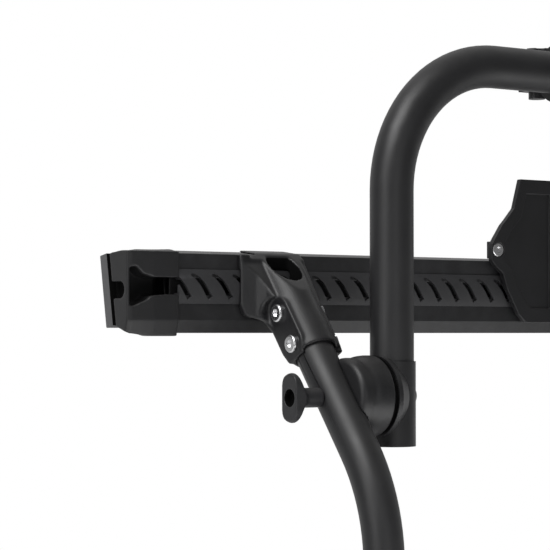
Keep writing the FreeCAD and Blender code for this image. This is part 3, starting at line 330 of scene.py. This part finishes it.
def edge_group():
    """A mask of rubbed edges, from how sharply the surface bends."""
    tree, start, end = new_group("rubbed_edges", {"Start": 0.54, "Patch": 60.0}, ["Mask"])
    shape = add_node(tree, "ShaderNodeNewGeometry")
    place = add_node(tree, "ShaderNodeTexCoord")
    patch = add_node(tree, "ShaderNodeTexNoise", {"Detail": 5.0, "Roughness": 0.65})
    wire(tree, place.outputs["Object"], patch.inputs["Vector"])
    wire(tree, start.outputs["Patch"], patch.inputs["Scale"])
    over = math_node(tree, "SUBTRACT", shape.outputs["Pointiness"], start.outputs["Start"])
    sharp = add_node(tree, "ShaderNodeMath", operation="MULTIPLY", use_clamp=True)
    wire(tree, over, sharp.inputs[0])
    sharp.inputs[1].default_value = WEAR_GAIN
    rough = add_node(tree, "ShaderNodeMapRange", {"From Min": 0.42, "From Max": 0.68})
    wire(tree, patch.outputs["Fac"], rough.inputs["Value"])
    wire(tree, math_node(tree, "MULTIPLY", sharp.outputs[0], rough.outputs["Result"]), end.inputs["Mask"])
    return tree


def dust_group():
    """A thin film of dust that lies on what faces up."""
    tree, start, end = new_group("dust_film", {"Amount": 0.3}, ["Mask"])
    shape = add_node(tree, "ShaderNodeNewGeometry")
    split = add_node(tree, "ShaderNodeSeparateXYZ")
    wire(tree, shape.outputs["Normal"], split.inputs["Vector"])
    up = add_node(tree, "ShaderNodeMapRange", {"From Min": 0.25, "From Max": 0.95})
    wire(tree, split.outputs["Z"], up.inputs["Value"])
    place = add_node(tree, "ShaderNodeTexCoord")
    cloud = add_node(tree, "ShaderNodeTexNoise", {"Scale": 38.0, "Detail": 6.0, "Roughness": 0.62})
    wire(tree, place.outputs["Object"], cloud.inputs["Vector"])
    film = math_node(tree, "MULTIPLY", up.outputs["Result"], cloud.outputs["Fac"])
    wire(tree, math_node(tree, "MULTIPLY", film, start.outputs["Amount"]), end.inputs["Mask"])
    return tree


def drawn_group():
    """Lines left along a length by the die, or round a turned face."""
    tree, start, end = new_group(
        "drawn_lines", {"Along X": 2.0, "Along Y": 900.0, "Along Z": 900.0}, ["Height"])
    place = add_node(tree, "ShaderNodeTexCoord")
    stretch = add_node(tree, "ShaderNodeCombineXYZ")
    for axis in "XYZ":
        wire(tree, start.outputs["Along " + axis], stretch.inputs[axis])
    scaled = add_node(tree, "ShaderNodeVectorMath", operation="MULTIPLY")
    wire(tree, place.outputs["Object"], scaled.inputs[0])
    wire(tree, stretch.outputs["Vector"], scaled.inputs[1])
    lines = add_node(tree, "ShaderNodeTexNoise", {"Scale": 1.0, "Detail": 3.0, "Roughness": 0.5})
    wire(tree, scaled.outputs["Vector"], lines.inputs["Vector"])
    wire(tree, lines.outputs["Fac"], end.inputs["Height"])
    return tree


def place_group(tree, name, values=None):
    """One use of a shared node group."""
    made = tree.nodes.new("ShaderNodeGroup")
    made.node_tree = bpy.data.node_groups[name]
    for label, value in (values or {}).items():
        made.inputs[label].default_value = value
    return made


def mix_color(tree, mask, first, second):
    """The first colour where the mask is 0 and the second where it is 1."""
    made = add_node(tree, "ShaderNodeMix", data_type="RGBA")
    wire(tree, mask, made.inputs["Factor"])
    for index, value in ((MIX_FIRST, first), (MIX_SECOND, second)):
        if isinstance(value, bpy.types.NodeSocket):
            wire(tree, value, made.inputs[index])
        else:
            made.inputs[index].default_value = value
    return made.outputs[MIX_RESULT]


def lighter(color, factor):
    """The colour times a factor, which also darkens it below 1."""
    return tuple(min(1, part * factor) for part in color[:3]) + (1,)


def surface(name, color, roughness, metallic=0.0, grain=900.0, bump=0.25, wear=2.2, dust=0.12,
            lines=None, specular=0.5, spread=0.12):
    """A finish with grain, rubbed edges, dust and, where lines is given, drawn lines."""
    made = bpy.data.materials.new(name)
    made.use_nodes = True
    tree = made.node_tree
    tree.nodes.clear()
    out = add_node(tree, "ShaderNodeOutputMaterial")
    shader = add_node(tree, "ShaderNodeBsdfPrincipled", {
        "Metallic": metallic, "Specular IOR Level": specular})
    wire(tree, shader.outputs["BSDF"], out.inputs["Surface"])
    peel = place_group(tree, "surface_grain", {"Scale": grain, "Soft": 0.35})
    edges = place_group(tree, "rubbed_edges", {"Start": 0.53})
    film = place_group(tree, "dust_film", {"Amount": dust})
    mottled = mix_color(tree, peel.outputs["Mottle"], lighter(color, DARK_MOTTLE),
                        lighter(color, PALE_MOTTLE))
    rubbed = mix_color(tree, edges.outputs["Mask"], mottled, lighter(color, wear))
    dusty = mix_color(tree, film.outputs["Mask"], rubbed, DUST_COLOR)
    wire(tree, dusty, shader.inputs["Base Color"])
    rough = add_node(tree, "ShaderNodeMapRange", {
        "To Min": max(0.05, roughness - spread), "To Max": min(1.0, roughness + spread)})
    wire(tree, peel.outputs["Mottle"], rough.inputs["Value"])
    wire(tree, math_node(tree, "ADD", rough.outputs["Result"], film.outputs["Mask"]),
         shader.inputs["Roughness"])
    height = peel.outputs["Height"]
    if lines:
        drawn = place_group(tree, "drawn_lines", {
            "Along " + axis: fineness for axis, fineness in zip("XYZ", lines)})
        height = math_node(tree, "ADD", height, drawn.outputs["Height"])
    relief = add_node(tree, "ShaderNodeBump", {"Strength": bump, "Distance": GRAIN_HEIGHT})
    wire(tree, height, relief.inputs["Height"])
    wire(tree, relief.outputs["Normal"], shader.inputs["Normal"])
    return made


class CARRIER_OT_finishes(bpy.types.Operator):
    """Make the carrier's materials"""

    bl_idname = "carrier.finishes"
    bl_label = "Make finishes"

    def execute(self, context):
        look = finish()
        for make in (grain_group, edge_group, dust_group, drawn_group):
            make()
        surface("tube_coat", look.coat_color, look.coat_roughness, bump=0.18, specular=0.55)
        surface("cast_coat", look.cast_color, look.cast_roughness, grain=1300.0, bump=0.5)
        surface("rail_anodised", look.rail_color, 0.4, bump=0.16, lines=(3.0, 700.0, 700.0), wear=3.0)
        surface("tray_anodised", look.rail_color, 0.38, bump=0.2, lines=(3.0, 500.0, 500.0), wear=3.0,
                dust=0.25)
        surface("moulded_black", look.plastic_color, look.plastic_roughness, grain=1600.0, bump=0.4,
                wear=2.6)
        # painted half-shade: the moulded black made darker for a cap's mouth, which lies in shade
        surface("moulded_shade", lighter(look.plastic_color, 0.45), 0.7, grain=1600.0, bump=0.3,
                wear=1.2, dust=0.0, specular=0.2)
        surface("knob_black", lighter(look.plastic_color, 1.7), look.plastic_roughness, grain=1600.0,
                bump=0.4, wear=2.2)
        surface("ribbed_black", look.strip_color, 0.5, grain=1500.0, bump=0.3)
        surface("door_pad_grey", look.pad_color, 0.85, grain=1900.0, bump=0.6, wear=1.1, specular=0.3)
        surface("rubber_black", look.rubber_color, 0.72, grain=1700.0, bump=0.6, wear=1.8, specular=0.35)
        surface("zinc_plate", look.zinc_color, 0.26, metallic=1.0, grain=700.0, bump=0.1, wear=1.1,
                dust=0.03, lines=(2.0, 400.0, 400.0), spread=0.08)
        # painted shade: a darkened copy of the plated zinc for the clamp bolts, which sit in the shade of
        # the bracket pockets
        surface("zinc_dull", lighter(look.zinc_color, 0.15), 0.5, metallic=1.0, grain=700.0, bump=0.1,
                wear=1.1, dust=0.0)
        # painted shade: a near-black finish put on hollows, grooves and gaps where shade falls
        surface("deep_recess", PAINTED_SHADE_COLOR, 0.9, bump=0.2, wear=1.0, dust=0.0, specular=0.1)
        return {"FINISHED"}


# Shapes

def new_piece(name, mesh, body, material):
    """A smooth piece of its own that rides on a body."""
    made = bpy.data.objects.new(name, mesh)
    bpy.context.scene.collection.objects.link(made)
    made.data.materials.clear()
    made.data.materials.append(bpy.data.materials[material])
    mesh.shade_smooth()
    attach(made, body)
    return made


def applied(obj):
    """The mesh of obj with its modifiers, as a new mesh."""
    bpy.context.view_layer.update()
    graph = bpy.context.evaluated_depsgraph_get()
    return bpy.data.meshes.new_from_object(obj.evaluated_get(graph))


def cast_copy(node, voxel, passes, body, material):
    """A casting with rounded inner and outer corners, grown from the CAD node."""
    source = bpy.data.objects.new("work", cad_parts[node].data.copy())
    bpy.context.scene.collection.objects.link(source)
    weld = source.modifiers.new("weld", "WELD")
    weld.merge_threshold = WELD_GAP
    remesh = source.modifiers.new("skin", "REMESH")
    remesh.mode = "VOXEL"
    remesh.voxel_size = voxel
    blend = source.modifiers.new("blend", "SMOOTH")
    blend.factor = BLEND_FACTOR
    blend.iterations = passes
    mesh = applied(source)
    bpy.data.objects.remove(source)
    piece = new_piece(node + "_cast", mesh, body, material)
    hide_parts(node)
    return piece


def blend_band(piece, near, far, passes):
    """Blends the surface of a casting between two distances from the middle of the carrier."""
    group = piece.vertex_groups.new(name="band")
    chosen = [point.index for point in piece.data.vertices if near < abs(point.co.x) / MM < far]
    group.add(chosen, 1.0, "REPLACE")
    blend = piece.modifiers.new("band", "SMOOTH")
    blend.vertex_group = group.name
    blend.factor = BLEND_FACTOR
    blend.iterations = passes


def paint_shade_faces(piece, material, holds):
    """Paints shade: a second, darker finish on the faces of a piece whose middle lies in a hollow."""
    piece.data.materials.append(bpy.data.materials[material])
    index = len(piece.data.materials) - 1
    for face in piece.data.polygons:
        middle = face.center
        if holds(abs(middle.x) / MM, middle.y / MM, middle.z / MM):
            face.material_index = index


def within(corners):
    """A test for a point between two corners."""
    low, high = corners

    def holds(*point):
        return all(least < value < most for least, value, most in zip(low, point, high))
    return holds


def in_pocket(x, y, z):
    """The wall and the floor of a bracket's pocket, under its rim, where shade is painted."""
    middle = POCKET_Y + (z - POCKET_Z) * POCKET_LEAN
    near = math.hypot(x - BRACKET_X, y - middle) < POCKET_R
    return near and POCKET_FLOOR < z < RIM_Z + (y - RIM_Y) * RIM_SLOPE - RIM_DEPTH


def in_spacer(x, y, z):
    """The thin layer between the rail and its pad, painted near-black as the shade in the gap."""
    return y - BACK_Y + (BACK_Z - z) * BACK_LEAN < SPACER_DEPTH


def in_seam(x, y, z):
    """The groove between the two halves of a hub, where shade is painted."""
    return abs(x - SEAM_X) < SEAM_HALF and math.hypot(y - HUB_Y, z - HUB_Z) < SEAM_R


def in_knob_hole(x, y, z):
    """The hole in the head of a hub knob, where shade is painted."""
    return HOLE_NEAR < x < HOLE_FAR and math.hypot(y - HUB_Y, z - HUB_Z) < HOLE_R


def round_node(node, material, width=None, angle=EDGE_ANGLE):
    """Gives a CAD node its finish and broken edges, as modifiers only."""
    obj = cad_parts[node]
    obj.data.materials.clear()
    obj.data.materials.append(bpy.data.materials[material])
    weld = obj.modifiers.new("weld", "WELD")
    weld.merge_threshold = WELD_GAP
    bevel = obj.modifiers.new("edges", "BEVEL")
    bevel.width = width or sizes().edge_round
    bevel.segments = EDGE_STEPS
    bevel.limit_method = "ANGLE"
    bevel.angle_limit = math.radians(angle)
    bevel.use_clamp_overlap = True
    bevel.harden_normals = False
    normals = obj.modifiers.new("normals", "WEIGHTED_NORMAL")
    normals.keep_sharp = True


def round_nodes(nodes, material, width=None):
    """Gives several CAD nodes the same finish."""
    for node in nodes:
        round_node(node, material, width)


def body_nodes(*prefixes):
    """The CAD nodes whose names start with one of the prefixes."""
    return [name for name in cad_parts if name.startswith(prefixes)]


class CARRIER_OT_rail(bpy.types.Operator):
    """Finish the rail, its pads, strips and end caps"""

    bl_idname = "carrier.rail"
    bl_label = "Rail"

    def execute(self, context):
        round_node("upper_rail", "rail_anodised")
        round_node("rear_pads", "door_pad_grey")
        # painted shade on the spacer and the pad's front face, in the gap behind the rail
        paint_shade_faces(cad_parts["rear_pads"], "deep_recess", in_spacer)
        for side in SIDES:
            round_node("infill_" + side, "ribbed_black", EDGE_STRIP, STRIP_ANGLE)
            cap = cast_copy("end_cap_" + side, sizes().cast_voxel, sizes().moulded_blend, "frame",
                            "moulded_black")
            # painted shade: a darker finish on a cap's mouth, and a near-black one in its throat and notch
            paint_shade_faces(cap, "moulded_shade", within(CAP_MOUTH))
            paint_shade_faces(cap, "deep_recess", within(CAP_THROAT))
            paint_shade_faces(cap, "deep_recess", within(CAP_NOTCH))
        return {"FINISHED"}


class CARRIER_OT_brackets(bpy.types.Operator):
    """Finish the tube brackets and their bolts"""

    bl_idname = "carrier.brackets"
    bl_label = "Tube brackets"

    def execute(self, context):
        for side in SIDES:
            bracket = cast_copy("tube_bracket_" + side, sizes().cast_voxel, sizes().cast_blend, "frame",
                                "cast_coat")
            # the bracket's pocket gets painted shade, a near-black finish where little light reaches
            paint_shade_faces(bracket, "deep_recess", in_pocket)
        round_nodes(("bracket_bolts", "cover_bolts", "hinge_pins"), "zinc_plate", EDGE_BOLT)
        # the clamp bolts get the darkened zinc, painted shade for their place in the pockets
        round_node("rail_clamp_bolts", "zinc_dull", EDGE_BOLT)
        return {"FINISHED"}


class CARRIER_OT_centre(bpy.types.Operator):
    """Finish the centre bracket"""

    bl_idname = "carrier.centre"
    bl_label = "Centre bracket"

    def execute(self, context):
        round_node("centre_cover", "cast_coat", EDGE_COVER)
        round_node("door_bracket", "cast_coat", EDGE_HUB)
        return {"FINISHED"}


class CARRIER_OT_tubes(bpy.types.Operator):
    """Finish the side tubes, the hoop and the lower frame"""

    bl_idname = "carrier.tubes"
    bl_label = "Tubes"

    def execute(self, context):
        round_nodes(("hoop", "lower_crossbar", "cross_tubes"), "tube_coat")
        round_nodes(body_nodes("side_tube_", "standoff_"), "tube_coat")
        round_node("foot_pads", "rubber_black", EDGE_FOOT)
        round_nodes(body_nodes("hinge_fork_"), "cast_coat", EDGE_ARM)
        return {"FINISHED"}


class CARRIER_OT_hub(bpy.types.Operator):
    """Finish the hubs of the hoop and their knobs"""

    bl_idname = "carrier.hub"
    bl_label = "Hubs"

    def execute(self, context):
        for side in SIDES:
            moving = "hub_moving_" + side
            round_node(moving, "cast_coat", EDGE_HUB)
            # painted shade in the seam's groove of the moving half
            paint_shade_faces(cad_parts[moving], "deep_recess", in_seam)
            dome = cast_copy("hub_fixed_" + side, sizes().cast_voxel, sizes().moulded_blend, "frame",
                             "cast_coat")
            # painted shade in the seam's groove of the fixed half
            paint_shade_faces(dome, "deep_recess", in_seam)
            blend_band(dome, DOME_NEAR, DOME_FAR, DOME_PASSES)
            knob = "hub_knob_" + side
            head = cast_copy(knob, sizes().knob_voxel, sizes().moulded_blend, knob, "knob_black")
            # painted shade in the hole of the knob's head
            paint_shade_faces(head, "deep_recess", in_knob_hole)
        round_node("hinge_bolts", "zinc_plate", EDGE_BOLT)
        return {"FINISHED"}


class CARRIER_OT_platform(bpy.types.Operator):
    """Finish the platform, its trays and the wheel holders"""

    bl_idname = "carrier.platform"
    bl_label = "Platform"

    def execute(self, context):
        round_nodes(body_nodes("platform_arm_"), "tube_coat", EDGE_ARM)
        round_nodes(("tray_inner", "tray_outer"), "tray_anodised")
        round_node("tray_caps", "moulded_black", EDGE_TRAY_CAP)
        round_node("tray_bolts", "zinc_plate", EDGE_BOLT)
        round_nodes(body_nodes("wheel_holder", "wheel_lever"), "moulded_black", EDGE_HOLDER)
        round_nodes(body_nodes("wheel_strap"), "rubber_black", EDGE_STRAP)
        return {"FINISHED"}


class CARRIER_OT_arms(bpy.types.Operator):
    """Finish the bike arms"""

    bl_idname = "carrier.arms"
    bl_label = "Bike arms"

    def execute(self, context):
        round_nodes(body_nodes("bike_collar", "bike_slide_jaw"), "cast_coat", EDGE_CLAMP)
        round_nodes(body_nodes("bike_boom"), "tube_coat", EDGE_CLAMP)
        round_nodes(body_nodes("bike_clamp_knob", "bike_slide_knob"), "moulded_black", EDGE_COVER)
        return {"FINISHED"}


# Studio

def area_light(name, place, target, size, power):
    """A soft rectangle of light that the camera doesn't see."""
    data = bpy.data.lights.new(name, "AREA")
    data.shape = "RECTANGLE"
    data.size, data.size_y = size
    data.energy = power
    lamp = bpy.data.objects.new(name, data)
    bpy.context.scene.collection.objects.link(lamp)
    lamp.visible_camera = False
    lamp.location = place
    lamp.rotation_euler = (Vector(target) - Vector(place)).to_track_quat("-Z", "Y").to_euler()


def seen_by_eye(tree):
    """1 for rays to the camera, also through glass, and 0 for those that light the object."""
    path = add_node(tree, "ShaderNodeLightPath")
    return math_node(tree, "MAXIMUM", path.outputs["Is Camera Ray"], path.outputs["Is Transmission Ray"])


def white_room(front, back):
    """A white wall behind the object that fades to a dim room in front of it."""
    world = bpy.data.worlds.new("room")
    bpy.context.scene.world = world
    world.use_nodes = True
    tree = world.node_tree
    tree.nodes.clear()
    out = add_node(tree, "ShaderNodeOutputWorld")
    place = add_node(tree, "ShaderNodeTexCoord")
    behind = add_node(tree, "ShaderNodeVectorMath", {1: WALL_WAY}, operation="DOT_PRODUCT")
    wire(tree, place.outputs["Generated"], behind.inputs[0])
    fade = add_node(tree, "ShaderNodeMapRange", {
        "From Min": WALL_START, "From Max": WALL_END, "To Min": front, "To Max": back},
        interpolation_type="SMOOTHSTEP")
    wire(tree, behind.outputs["Value"], fade.inputs["Value"])
    seen = add_node(tree, "ShaderNodeBackground", {"Color": (1, 1, 1, 1), "Strength": 1.0})
    lit = add_node(tree, "ShaderNodeBackground", {"Color": (1, 1, 1, 1)})
    wire(tree, fade.outputs["Result"], lit.inputs["Strength"])
    mix = add_node(tree, "ShaderNodeMixShader")
    wire(tree, seen_by_eye(tree), mix.inputs["Fac"])
    wire(tree, lit.outputs["Background"], mix.inputs[1])
    wire(tree, seen.outputs["Background"], mix.inputs[2])
    wire(tree, mix.outputs["Shader"], out.inputs["Surface"])


def make_floor(half):
    """A pale floor that fades to clear towards its edge."""
    mesh = bpy.data.meshes.new("floor")
    shape = bmesh.new()
    bmesh.ops.create_grid(shape, x_segments=FLOOR_CELLS, y_segments=FLOOR_CELLS, size=half)
    shape.to_mesh(mesh)
    shape.free()
    floor = bpy.data.objects.new("studio_floor", mesh)
    bpy.context.scene.collection.objects.link(floor)
    floor.location = (0, 0, cad_bounds[0][2] - FLOOR_GAP)
    material = bpy.data.materials.new("pale_floor")
    material.use_nodes = True
    tree = material.node_tree
    tree.nodes.clear()
    out = add_node(tree, "ShaderNodeOutputMaterial")
    pale = add_node(tree, "ShaderNodeBsdfDiffuse", {"Color": FLOOR_COLOR})
    clear = add_node(tree, "ShaderNodeBsdfTransparent")
    place = add_node(tree, "ShaderNodeTexCoord")
    length = add_node(tree, "ShaderNodeVectorMath", operation="LENGTH")
    wire(tree, place.outputs["Object"], length.inputs[0])
    fade = add_node(tree, "ShaderNodeMapRange", {
        "From Min": FLOOR_FADE_START * half, "From Max": FLOOR_FADE_END * half},
        interpolation_type="SMOOTHSTEP")
    wire(tree, length.outputs["Value"], fade.inputs["Value"])
    mix = add_node(tree, "ShaderNodeMixShader")
    wire(tree, fade.outputs["Result"], mix.inputs["Fac"])
    wire(tree, pale.outputs["BSDF"], mix.inputs[1])
    wire(tree, clear.outputs["BSDF"], mix.inputs[2])
    wire(tree, mix.outputs["Shader"], out.inputs["Surface"])
    mesh.materials.append(material)


def make_camera():
    """The camera that took the photo."""
    room = studio()
    data = bpy.data.cameras.new("photo_camera")
    data.sensor_width = SENSOR_WIDTH
    data.lens = room.camera_lens
    data.clip_end = CAMERA_FAR
    camera = bpy.data.objects.new("photo_camera", data)
    bpy.context.scene.collection.objects.link(camera)
    camera.location = room.camera_place
    camera.rotation_euler = (math.radians(90) + room.camera_rise, 0, -room.camera_turn)
    bpy.context.scene.camera = camera


class CARRIER_OT_stage(bpy.types.Operator):
    """Set the floor, the lights and the camera"""

    bl_idname = "carrier.stage"
    bl_label = "Studio"

    def execute(self, context):
        room = studio()
        white_room(room.front_light, room.back_light)
        make_floor(room.floor_size)
        for name, place, target, size, power in LIGHTS:
            area_light(name, place, target, size, getattr(room, power))
        make_camera()
        context.scene.view_settings.view_transform = "Standard"
        return {"FINISHED"}


class CARRIER_PT_panel(bpy.types.Panel):
    """Lists the carrier's steps and values"""

    bl_label = "Bike carrier"
    bl_idname = "CARRIER_PT_panel"
    bl_space_type = "VIEW_3D"
    bl_region_type = "UI"
    bl_category = "Carrier"

    def draw(self, context):
        for step in STEPS:
            self.layout.operator(step.bl_idname)
        for group, kind in ((finish(), CarrierFinish), (sizes(), CarrierSizes), (studio(), CarrierStudio)):
            box = self.layout.box()
            for name in kind.__annotations__:
                box.prop(group, name)


STEPS = (
    CARRIER_OT_finishes,
    CARRIER_OT_rail,
    CARRIER_OT_brackets,
    CARRIER_OT_centre,
    CARRIER_OT_tubes,
    CARRIER_OT_hub,
    CARRIER_OT_platform,
    CARRIER_OT_arms,
    CARRIER_OT_stage,
)
GROUPS = (CarrierFinish, CarrierSizes, CarrierStudio)


def register():
    """Adds the carrier's classes and its values to Blender."""
    for kind in GROUPS + STEPS + (CARRIER_PT_panel,):
        bpy.utils.register_class(kind)
    bpy.types.Scene.carrier_finish = bpy.props.PointerProperty(type=CarrierFinish)
    bpy.types.Scene.carrier_sizes = bpy.props.PointerProperty(type=CarrierSizes)
    bpy.types.Scene.carrier_studio = bpy.props.PointerProperty(type=CarrierStudio)


def unregister():
    """Takes them out again."""
    del bpy.types.Scene.carrier_studio
    del bpy.types.Scene.carrier_sizes
    del bpy.types.Scene.carrier_finish
    for kind in (CARRIER_PT_panel,) + STEPS[::-1] + GROUPS[::-1]:
        bpy.utils.unregister_class(kind)


def main():
    """Runs each step in order."""
    register()
    for step in STEPS:
        group, name = step.bl_idname.split(".")
        getattr(getattr(bpy.ops, group), name)()


if __name__ == "__main__":
    main()
